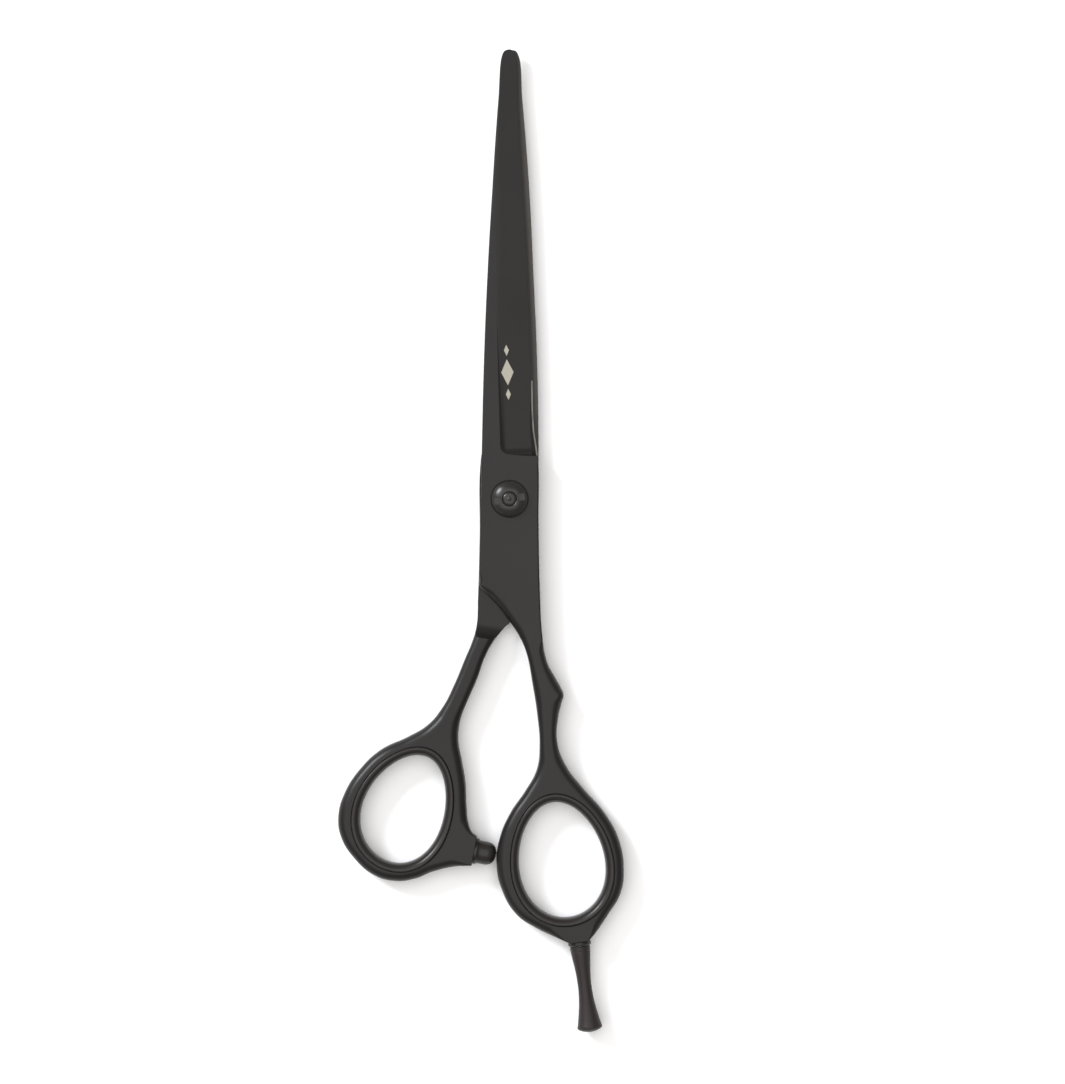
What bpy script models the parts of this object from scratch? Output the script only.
"""Hair cutting shears with an offset grip, closed and lying flat, in metres with +Z up.

The origin is on the pivot's axis, in the plane that the shears lie on. +Y runs along the closed blades to
their tips, and +X is on the side of the finger bow. The finger side lies on the thumb side at the pivot.
"""

import math

import bmesh
import bpy

MM = 0.001

# Levels above the table, and thicknesses.
MEET_Z = 3.2 * MM  # the plane in which the two sides meet
RIDE_GAP = 0.05 * MM  # from that plane to each side's inner face
HANDLE_THICK = 5.6 * MM
HANDLE_ROUND = 1.3 * MM
PLATE_THICK = 2.5 * MM  # each side, at the pivot
TIP_THICK = 1.25 * MM  # each side, at its blade's tip
HEEL_Y = 8.6 * MM  # where the ground face of a blade starts
TIP_Y = 95.9 * MM
GRIND_SLOPE = math.radians(12.2)
GRIND_WHEEL = 3.0 * MM  # the radius left at the end of a ground face
SHOULDER_REACH = 30.4 * MM  # from the pivot to where a shank reaches its whole thickness
SHOULDER_TURN = math.radians(8)

# The finger holes are eggs: half width, half length, how much narrower the top is, lean, and bow.
FINGER_HOLE = {"centre": (11.05, -77.04), "half": (9.12, 12.37), "egg": 0.108, "lean": 8.9, "bow": 0.02}
THUMB_HOLE = {"centre": (-22.45, -65.97), "half": (8.62, 11.88), "egg": 0.131, "lean": -21.0, "bow": 0.49}
INSERT_LIP = 1.75  # mm that an insert's lips reach out from the hole
INSERT_WEB = 0.85  # mm that its web reaches out, inside the bow's rib
INSERT_LIP_THICK = 1.7
INSERT_THICK = 6.4
INSERT_GAP = 0.1
HOLE_POINTS = 44

# The pivot's hardware: radii, and levels above the table.
BOLT_HEAD_R = 4.0 * MM
BOLT_HEAD_TOP = 0.6 * MM
BOLT_NECK_SIDE = 4.2 * MM
BOLT_NECK_TOP = 2.2 * MM
BOLT_SHANK_R = 1.8 * MM
BOLT_THREAD_R = 1.45 * MM
BOLT_SHOULDER_Z = 5.9 * MM
BOLT_TOP = 7.85 * MM
FIT = 0.1 * MM  # running clearance round the pivot
BUSH_R = 2.5 * MM
SEAT_R = 4.05 * MM  # the recess that the nut stands in
SEAT_DEPTH = 0.5 * MM
RIDE_WASHER_R = 3.6 * MM
RIDE_WASHER_BOTTOM = 2.75 * MM
NUT_R = 3.8 * MM
NUT_TOP = 7.45 * MM
KEY_NOTCH_WIDTH = 1.7 * MM
KEY_NOTCH_INNER = 1.2 * MM
KEY_NOTCH_FLOOR = 6.8 * MM
LOCK_RING_R = 2.3 * MM
LOCK_RING_TOP = 6.65 * MM

# The rest for the little finger and the stop between the bows, in their own axes.
REST_FOOT = (14.9, -94.6)
REST_LEAN = math.radians(7.0)
REST_WASHER_THICK = 0.9 * MM
REST_STUD_R = 1.1 * MM
REST_STUD_IN_BOW = 2.3 * MM
STOP_FOOT = (-7.55, -75.2)
STOP_LEAN = math.radians(79)
STOP_STUD_R = 1.0 * MM
STOP_STUD_IN_BOW = 3.0 * MM
STOP_STUD_IN_STOP = 2.0 * MM

ROUND_STEPS = 32

# Outlines in mm, clockwise. "corner" marks a sharp point; the rest are on a smooth line.
FINGER_SIDE = [
    (-0.85, 95.85), (-1.5, 95.1), (-2.4, 85.5), (-3.7, 66.2), (-4.78, 47.0), (-5.5, 29.0), (-5.95, 10.0),
    (-6.3, -9.0), (-6.48, -18.5, "corner"), (-4.2, -21.0), (-2.1, -23.3), (-0.15, -26.0),
    (2.0, -29.2), (3.6, -32.9),
    (4.9, -39.6), (5.95, -46.5), (6.4, -52.3), (5.8, -57.8), (3.4, -62.3), (0.2, -67.0), (-2.05, -72.2),
    (-2.8, -77.8), (-1.7, -83.4), (1.5, -88.8), (6.0, -91.8), (10.6, -93.9), (13.0, -94.85, "corner"),
    (16.8, -94.35, "corner"), (18.4, -92.6), (21.0, -88.8), (23.7, -84.2), (24.4, -78.8), (23.3, -72.6),
    (20.2, -66.9), (15.8, -61.9), (12.0, -56.9), (10.2, -52.0), (10.35, -46.9), (11.2, -43.2),
    (11.55, -41.9), (11.1, -40.6), (9.9, -38.4), (8.0, -34.8), (6.95, -28.6), (6.5, -20.0), (6.2, -5.0),
    (6.1, 8.4), (5.2, 15.5), (4.85, 28.0), (3.75, 53.4), (1.95, 83.0), (1.45, 94.6), (0.9, 95.7),
]
THUMB_SIDE = [
    (1.0, 95.9), (1.8, 95.1), (2.72, 85.5), (4.2, 66.2), (5.15, 47.0), (5.9, 29.0), (6.18, 13.0),
    (6.15, -5.0), (6.4, -18.6, "corner"), (3.6, -20.4), (0.8, -25.6), (-1.3, -27.7), (-3.3, -30.2),
    (-5.1, -33.4), (-7.0, -38.6), (-9.0, -43.2), (-10.5, -47.2), (-10.95, -51.4), (-10.2, -55.9),
    (-9.45, -60.4), (-9.2, -65.5), (-8.85, -69.0), (-8.1, -71.1), (-6.96, -72.16, "corner"),
    (-8.14, -78.24, "corner"), (-11.8, -78.5), (-16.4, -79.6), (-20.2, -81.1), (-24.4, -81.6),
    (-28.9, -80.4),
    (-33.3, -76.6), (-36.0, -72.2), (-36.6, -67.8), (-35.2, -62.7), (-31.7, -57.4), (-27.4, -53.5),
    (-21.6, -50.75),
    (-17.4, -48.2), (-14.2, -44.3), (-11.8, -39.6), (-9.6, -34.3), (-7.9, -30.2), (-7.1, -27.4),
    (-6.75, -21.0), (-6.4, -8.0), (-6.15, 8.4), (-4.9, 15.5), (-4.5, 28.0), (-3.5, 53.4), (-1.3, 83.0),
    (-0.5, 94.6), (0.1, 95.7),
]


def start_scene():
    for item in list(bpy.data.objects):
        bpy.data.objects.remove(item)
    groups = []
    for name in ("hair_shears", "cutters"):
        group = bpy.data.collections.new(name)
        bpy.context.scene.collection.children.link(group)
        groups.append(group)
    return groups


PARTS, CUTTERS = start_scene()


def material(name, colour, roughness, metallic):
    made = bpy.data.materials.new(name)
    made.use_nodes = True
    shader = made.node_tree.nodes["Principled BSDF"]
    shader.inputs["Base Color"].default_value = (*colour, 1)
    shader.inputs["Roughness"].default_value = roughness
    shader.inputs["Metallic"].default_value = metallic
    return made


BLACK_STEEL = material("black_coated_steel", (0.055, 0.052, 0.053), 0.45, 0.6)
BLACK_RUBBER = material("black_rubber", (0.042, 0.036, 0.034), 0.6, 0.0)
BLACK_PLASTIC = material("black_plastic", (0.045, 0.038, 0.035), 0.5, 0.0)
SPRING_STEEL = material("spring_steel", (0.6, 0.6, 0.6), 0.3, 1.0)
NYLON = material("white_nylon", (0.8, 0.78, 0.74), 0.5, 0.0)
BRONZE = material("bearing_bronze", (0.55, 0.38, 0.2), 0.4, 1.0)


def add(name, data, finish=None, group=PARTS):
    item = bpy.data.objects.new(name, data)
    group.objects.link(item)
    if finish:
        data.materials.append(finish)
    return item


def meshed(curve_item):
    """Replaces a curve object with the mesh that it makes, its caps welded."""
    graph = bpy.context.evaluated_depsgraph_get()
    mesh = bpy.data.meshes.new_from_object(curve_item.evaluated_get(graph))
    shape = bmesh.new()
    shape.from_mesh(mesh)
    bmesh.ops.remove_doubles(shape, verts=shape.verts, dist=0.001 * MM)
    bmesh.ops.recalc_face_normals(shape, faces=shape.faces)
    shape.to_mesh(mesh)
    shape.free()
    item = bpy.data.objects.new(curve_item.name, mesh)
    item.matrix_world = curve_item.matrix_world
    for group in curve_item.users_collection:
        group.objects.link(item)
    name = curve_item.name
    bpy.data.objects.remove(curve_item)
    item.name = name
    return item


def as_cutter(item):
    item.hide_render = True
    item.display_type = "WIRE"
    return item


def flat_outline(name, points, thickness, rounding, finish=None, group=PARTS, smooth=4):
    """A plate whose outline passes through the points in mm, with its edges rounded."""
    curve = bpy.data.curves.new(name, "CURVE")
    curve.dimensions = "2D"
    curve.fill_mode = "BOTH"
    curve.resolution_u = smooth
    curve.extrude = thickness / 2 - rounding
    curve.bevel_depth = rounding
    curve.bevel_resolution = 2
    curve.offset = -rounding
    spline = curve.splines.new("BEZIER")
    spline.bezier_points.add(len(points) - 1)
    spline.use_cyclic_u = True
    for knot, point in zip(spline.bezier_points, points):
        knot.co = (point[0] * MM, point[1] * MM, 0)
        kind = "VECTOR" if "corner" in point else "AUTO"
        knot.handle_left_type = knot.handle_right_type = kind
    return meshed(add(name, curve, finish, group))


def egg(hole, reach):
    """Points in mm round a finger hole, moved out from its edge by reach."""
    half_width, half_length = (side + reach for side in hole["half"])
    lean = math.radians(hole["lean"])
    points = []
    for step in range(HOLE_POINTS):
        turn = -2 * math.pi * step / HOLE_POINTS
        across = half_width * math.cos(turn) * (1 - hole["egg"] * math.sin(turn))
        across += hole["bow"] * math.sin(turn) ** 2
        along = half_length * math.sin(turn)
        points.append((
            hole["centre"][0] + across * math.cos(lean) - along * math.sin(lean),
            hole["centre"][1] + across * math.sin(lean) + along * math.cos(lean),
        ))
    return points


def poly_curve(name, points, group):
    curve = bpy.data.curves.new(name, "CURVE")
    spline = curve.splines.new("POLY")
    spline.points.add(len(points) - 1)
    spline.use_cyclic_u = True
    for knot, (x, y) in zip(spline.points, points):
        knot.co = (x * MM, y * MM, 0, 1)
    return add(name, curve, group=group)


def egg_prism(name, hole, reach, thickness):
    """A cutter in the shape of a finger hole, centred on the plane in which the sides meet."""
    item = poly_curve(name, egg(hole, reach), CUTTERS)
    item.data.dimensions = "2D"
    item.data.fill_mode = "BOTH"
    item.data.extrude = thickness * MM / 2
    item.location.z = MEET_Z
    bpy.context.view_layer.update()
    return as_cutter(meshed(item))


def turned(name, profile, finish=None, group=PARTS, steps=ROUND_STEPS):
    """A turned piece about its own Z. The profile holds (radius, height), down its outer side."""
    mesh = bpy.data.meshes.new(name)
    closed = all(radius > 0 for radius, _ in profile)
    edges = [(i, i + 1) for i in range(len(profile) - 1)]
    if closed:
        edges.append((len(profile) - 1, 0))
    mesh.from_pydata([(radius, 0, height) for radius, height in profile], edges, [])
    item = add(name, mesh, finish, group)
    screw = item.modifiers.new("turn", "SCREW")
    screw.steps = screw.render_steps = steps
    screw.use_merge_vertices = True
    screw.merge_threshold = 0.001 * MM
    return item


def box(name, low, high, group=CUTTERS):
    """A box between two corners."""
    mesh = bpy.data.meshes.new(name)
    shape = bmesh.new()
    bmesh.ops.create_cube(shape, size=1)
    for corner in shape.verts:
        corner.co = [a + (b - a) * (0.5 + side) for a, b, side in zip(low, high, corner.co)]
    shape.to_mesh(mesh)
    shape.free()
    return add(name, mesh, group=group)


def cut(item, cutter, kind="DIFFERENCE"):
    step = item.modifiers.new(cutter.name, "BOOLEAN")
    step.operation = kind
    step.object = cutter
    as_cutter(cutter)


def wheel_cutter(name, width, length, height, radius):
    """A grinding wheel's path: it removes what is above its own z=0 and beyond y=0, and leaves a fillet."""
    item = box(name, (-width / 2, 0, 0), (width / 2, length, height))
    rounded = item.modifiers.new("wheel", "BEVEL")
    rounded.width = radius
    rounded.segments = 6
    rounded.limit_method = "WEIGHT"
    weights = item.data.attributes.new("bevel_weight_edge", "FLOAT", "EDGE")
    for edge, weight in zip(item.data.edges, weights.data):
        ends = [item.data.vertices[i].co for i in edge.vertices]
        weight.value = float(all(end.y == 0 and end.z == 0 for end in ends))
    return item


def grind_plate(item, up, spine_side):
    """Cuts one side's plate: its inner face and shoulder, its taper to the tip and its ground face.

    up is 1 where the outer face points up, and spine_side is -1 where the spine is on the left.
    """
    reach = 140 * MM
    inner = wheel_cutter(item.name + "_inner_face", reach, reach, 2 * HANDLE_THICK, GRIND_WHEEL)
    inner.rotation_euler = (0, math.pi if up > 0 else 0, spine_side * up * SHOULDER_TURN)
    inner.location = (
        math.sin(inner.rotation_euler.z) * SHOULDER_REACH,
        -math.cos(inner.rotation_euler.z) * SHOULDER_REACH,
        MEET_Z + up * RIDE_GAP,
    )
    cut(item, inner)

    outer = wheel_cutter(item.name + "_outer_face", reach, reach, 2 * HANDLE_THICK, GRIND_WHEEL)
    outer.rotation_euler = (0, 0 if up > 0 else math.pi, spine_side * up * SHOULDER_TURN)
    outer.location = (*inner.location[:2], MEET_Z + up * (RIDE_GAP + PLATE_THICK))
    cut(item, outer)

    fall = math.atan((PLATE_THICK - TIP_THICK) / (TIP_Y - HEEL_Y))
    taper = box(
        item.name + "_taper",
        (-reach / 2, 0, 0),
        (reach / 2, reach, 2 * HANDLE_THICK),
    )
    taper.rotation_euler = (-fall, 0 if up > 0 else math.pi, 0)
    taper.location = (0, HEEL_Y, MEET_Z + up * (RIDE_GAP + PLATE_THICK))
    cut(item, taper)

    face = wheel_cutter(item.name + "_ground_face", reach, reach, 2 * HANDLE_THICK, GRIND_WHEEL)
    tilt = -spine_side * GRIND_SLOPE
    face.rotation_euler = (-fall * 0.8, tilt if up > 0 else math.pi + tilt, 0)
    spine_x = spine_side * 3.1 * MM
    face.location = (spine_x, HEEL_Y, MEET_Z + up * (RIDE_GAP + PLATE_THICK))
    cut(item, face)


def bore_bow(item, hole, label):
    """Cuts a bow's stepped hole: a rib in the middle, and a seat for the insert's lip on each face."""
    rib = INSERT_THICK - 2 * INSERT_LIP_THICK - 2 * INSERT_GAP
    cut(item, egg_prism(label + "_hole", hole, INSERT_WEB + INSERT_GAP, 3 * INSERT_THICK))
    for word, up in (("upper", 1), ("lower", -1)):
        seat = egg_prism(f"{label}_{word}_seat", hole, INSERT_LIP + INSERT_GAP, INSERT_THICK)
        seat.location.z = MEET_Z + up * (rib + INSERT_THICK) * MM / 2
        cut(item, seat)


def make_insert(name, hole):
    """A rubber ring that grips the bow's rib between its two lips."""
    lip, web, half = INSERT_LIP, INSERT_WEB, INSERT_THICK / 2
    step = half - INSERT_LIP_THICK
    section = [
        (0.35, -half + 0.45), (0.85, -half), (lip - 0.3, -half), (lip, -half + 0.3), (lip, -step),
        (web, -step),
        (web, step), (lip, step), (lip, half - 0.3), (lip - 0.3, half), (0.85, half), (0.35, half - 0.45),
        (0.0, half - 1.4), (0.0, -half + 1.4),
    ]
    rings = [egg(hole, reach) for reach, _ in section]
    shape = bmesh.new()
    corners = [
        [shape.verts.new((x * MM, y * MM, MEET_Z + height * MM)) for x, y in ring]
        for ring, (_, height) in zip(rings, section)
    ]
    for i, ring in enumerate(corners):
        after = corners[(i + 1) % len(corners)]
        for j in range(HOLE_POINTS):
            k = (j + 1) % HOLE_POINTS
            shape.faces.new((ring[j], ring[k], after[k], after[j]))
    bmesh.ops.recalc_face_normals(shape, faces=shape.faces)
    mesh = bpy.data.meshes.new(name)
    shape.to_mesh(mesh)
    shape.free()
    return add(name, mesh, BLACK_RUBBER)


def place_along(item, foot, lean):
    """Turns a piece's own -Z to run from a foot in mm, out along the table, lean from -Y towards +X."""
    item.rotation_euler = (-math.pi / 2, 0, lean)
    item.location = (foot[0] * MM, foot[1] * MM, MEET_Z)
    return item


def make_finger_side():
    item = flat_outline("finger_blade", FINGER_SIDE, HANDLE_THICK, HANDLE_ROUND, BLACK_STEEL)
    item.location.z = MEET_Z
    grind_plate(item, 1, -1)
    bore_bow(item, FINGER_HOLE, "finger")
    top = MEET_Z + RIDE_GAP + PLATE_THICK
    seat = turned("nut_seat", [(0, top + 4 * MM), (SEAT_R, top + 4 * MM), (SEAT_R, top - SEAT_DEPTH),
                               (0, top - SEAT_DEPTH)], group=CUTTERS)
    cut(item, seat)
    bore = turned("bush_bore", [(0, top), (BUSH_R + FIT, top), (BUSH_R + FIT, 0), (0, 0)], group=CUTTERS)
    cut(item, bore)
    hole_r, deep = REST_STUD_R + FIT, REST_STUD_IN_BOW + 2 * FIT
    rest_hole = turned("rest_hole", [(0, deep), (hole_r, deep), (hole_r, -deep), (0, -deep)], group=CUTTERS)
    cut(item, place_along(rest_hole, REST_FOOT, REST_LEAN))
    return item


def make_thumb_side():
    item = flat_outline("thumb_blade", THUMB_SIDE, HANDLE_THICK, HANDLE_ROUND, BLACK_STEEL)
    item.location.z = MEET_Z
    grind_plate(item, -1, 1)
    bore_bow(item, THUMB_HOLE, "thumb")
    side = BOLT_NECK_SIDE / 2 + FIT
    cut(item, box("neck_hole", (-side, -side, -1 * MM), (side, side, BOLT_NECK_TOP + FIT)))
    washer_r, floor = RIDE_WASHER_R + FIT, RIDE_WASHER_BOTTOM - RIDE_GAP
    shank_r = BOLT_SHANK_R + FIT
    step = turned("washer_seat", [
        (0, MEET_Z + 1 * MM), (washer_r, MEET_Z + 1 * MM), (washer_r, floor), (shank_r, floor),
        (shank_r, BOLT_NECK_TOP - FIT), (0, BOLT_NECK_TOP - FIT),
    ], group=CUTTERS)
    cut(item, step)
    hole_r, deep = STOP_STUD_R + FIT, STOP_STUD_IN_BOW + 2 * FIT
    stud_hole = turned("stop_hole", [(0, deep), (hole_r, deep), (hole_r, -deep), (0, -deep)], group=CUTTERS)
    cut(item, place_along(stud_hole, STOP_FOOT, STOP_LEAN))
    return item


def make_pivot():
    """The bolt through both sides with its washers, bush, spring and nut, from the table up."""
    neck_r, thread_r = BOLT_SHANK_R, BOLT_THREAD_R
    bolt = turned("pivot_bolt", [
        (0, BOLT_TOP), (0.6 * MM, BOLT_TOP - 0.06 * MM), (1.1 * MM, BOLT_TOP - 0.25 * MM),
        (thread_r, BOLT_TOP - 0.6 * MM), (thread_r, BOLT_SHOULDER_Z), (neck_r, BOLT_SHOULDER_Z),
        (neck_r, BOLT_HEAD_TOP), (BOLT_HEAD_R, BOLT_HEAD_TOP), (BOLT_HEAD_R, 0.25 * MM),
        (BOLT_HEAD_R - 0.25 * MM, 0), (0, 0),
    ], BLACK_STEEL)
    side = BOLT_NECK_SIDE / 2
    cut(bolt, box("bolt_neck", (-side, -side, 0.3 * MM), (side, side, BOLT_NECK_TOP)), "UNION")

    def ring(name, inner, outer, low, high, finish):
        return turned(name, [(inner, high), (outer, high), (outer, low), (inner, low)], finish)

    plate_top = MEET_Z + RIDE_GAP + PLATE_THICK
    seat_z = plate_top - SEAT_DEPTH
    running = BOLT_SHANK_R + FIT
    ride = ring("ride_washer", running, RIDE_WASHER_R, RIDE_WASHER_BOTTOM, MEET_Z, NYLON)
    bush = ring("pivot_bush", running, BUSH_R, MEET_Z + 2 * RIDE_GAP, seat_z - RIDE_GAP, BRONZE)
    glide = ring("glide_washer", running + FIT, NUT_R - FIT, seat_z + RIDE_GAP, plate_top - RIDE_GAP, NYLON)
    spring = turned("spring_washer", [
        (2.0 * MM, plate_top + 0.38 * MM), (3.3 * MM, plate_top + 0.25 * MM),
        (3.3 * MM, plate_top), (2.0 * MM, plate_top + 0.13 * MM),
    ], SPRING_STEEL)

    bore_r, cave_r = thread_r + FIT, 3.45 * MM
    skirt_z, cave_z = plate_top + RIDE_GAP, plate_top + 0.45 * MM
    lock = ring("nut_lock_ring", thread_r + FIT / 2, LOCK_RING_R, cave_z + RIDE_GAP, LOCK_RING_TOP, NYLON)
    lock_r, lock_z = LOCK_RING_R + RIDE_GAP, LOCK_RING_TOP + RIDE_GAP
    nut = turned("tension_nut", [
        (bore_r, NUT_TOP), (2.2 * MM, NUT_TOP), (3.0 * MM, NUT_TOP - 0.4 * MM),
        (3.6 * MM, NUT_TOP - 0.85 * MM), (NUT_R, NUT_TOP - 1.15 * MM), (NUT_R, skirt_z),
        (cave_r, skirt_z), (cave_r, cave_z), (lock_r, cave_z), (lock_r, lock_z), (bore_r, lock_z),
    ], BLACK_STEEL)
    for word, sign in (("left", -1), ("right", 1)):
        ends = sorted((sign * KEY_NOTCH_INNER, sign * 2 * NUT_R))
        half = KEY_NOTCH_WIDTH / 2
        notch = box(f"key_notch_{word}", (ends[0], -half, KEY_NOTCH_FLOOR), (ends[1], half, 2 * NUT_TOP))
        cut(nut, notch)
    return bolt, ride, bush, glide, spring, nut, lock


def make_rest():
    """The rest for the little finger: its washer, its stud and its waisted body, about one axis."""
    washer_low, washer_high = FIT, REST_WASHER_THICK
    stud_end = 4.5 * MM
    washer = turned("rest_washer", [
        (REST_STUD_R + FIT, -washer_low), (2.3 * MM, -washer_low), (2.45 * MM, -washer_low - 0.15 * MM),
        (2.45 * MM, -washer_high + 0.15 * MM), (2.3 * MM, -washer_high), (REST_STUD_R + FIT, -washer_high),
    ], BLACK_RUBBER)
    stud = turned("rest_stud", [
        (0, REST_STUD_IN_BOW), (REST_STUD_R, REST_STUD_IN_BOW), (REST_STUD_R, -stud_end), (0, -stud_end),
    ], SPRING_STEEL, steps=20)
    bore_r, bore_end = REST_STUD_R + FIT, -stud_end - 2 * FIT
    start = washer_high + FIT
    outer = [(2.1, start / MM), (2.1, 2.1), (1.85, 4.2), (1.58, 6.6), (1.46, 9.2), (1.55, 11.8), (1.87, 14.4),
             (2.4, 17.2), (2.67, 18.3), (2.55, 18.65), (1.6, 19.15), (0.7, 19.4), (0, 19.45)]
    body = turned("finger_rest", [
        (0, bore_end), (bore_r, bore_end), (bore_r, -start),
        *((radius * MM, -height * MM) for radius, height in outer),
    ], BLACK_PLASTIC, steps=24)
    return [place_along(item, REST_FOOT, REST_LEAN) for item in (washer, stud, body)]


def make_stop():
    """The soft stop on the thumb bow, which meets the finger bow when the blades close, and its stud."""
    stud = turned("stop_stud", [
        (0, STOP_STUD_IN_BOW), (STOP_STUD_R, STOP_STUD_IN_BOW), (STOP_STUD_R, -STOP_STUD_IN_STOP),
        (0, -STOP_STUD_IN_STOP),
    ], SPRING_STEEL, steps=20)
    bore_r, bore_end = STOP_STUD_R + FIT, -STOP_STUD_IN_STOP - FIT
    outer = [
        (2.75, 0.1), (2.8, 0.5), (2.48, 0.9), (2.47, 2.7), (2.2, 3.65), (1.6, 4.3), (0.8, 4.6), (0, 4.68),
    ]
    body = turned("stop_bumper", [
        (0, bore_end), (bore_r, bore_end), (bore_r, -FIT),
        *((radius * MM, -height * MM) for radius, height in outer),
    ], BLACK_RUBBER, steps=24)
    return [place_along(item, STOP_FOOT, STOP_LEAN) for item in (stud, body)]


def gather(name, location, items, parent=None):
    """An empty on a joint's axis, which carries the pieces that move together."""
    bpy.context.view_layer.update()
    holder = add(name, None)
    holder.location = location
    holder.parent = parent
    bpy.context.view_layer.update()
    for item in items:
        placed = item.matrix_world.copy()
        item.parent = holder
        item.matrix_world = placed
    return holder


def smooth_shading():
    for item in PARTS.objects:
        if item.type == "MESH":
            item.data.shade_smooth()
            item.data.set_sharp_from_angle(angle=math.radians(35))


finger_blade = make_finger_side()
thumb_blade = make_thumb_side()
pivot_bolt, ride_washer, pivot_bush, glide_washer, spring_washer, tension_nut, nut_lock_ring = make_pivot()
finger_insert = make_insert("finger_insert", FINGER_HOLE)
thumb_insert = make_insert("thumb_insert", THUMB_HOLE)
rest_pieces = make_rest()
stop_pieces = make_stop()
smooth_shading()

finger_group = gather("finger_side", (0, 0, 0), [finger_blade, pivot_bush, glide_washer, finger_insert])
thumb_group = gather(
    "thumb_side", (0, 0, 0), [thumb_blade, pivot_bolt, ride_washer, spring_washer, thumb_insert, *stop_pieces]
)
gather("nut_turn", (0, 0, 0), [tension_nut, nut_lock_ring], thumb_group)
gather("rest_turn", (REST_FOOT[0] * MM, REST_FOOT[1] * MM, MEET_Z), rest_pieces, finger_group)
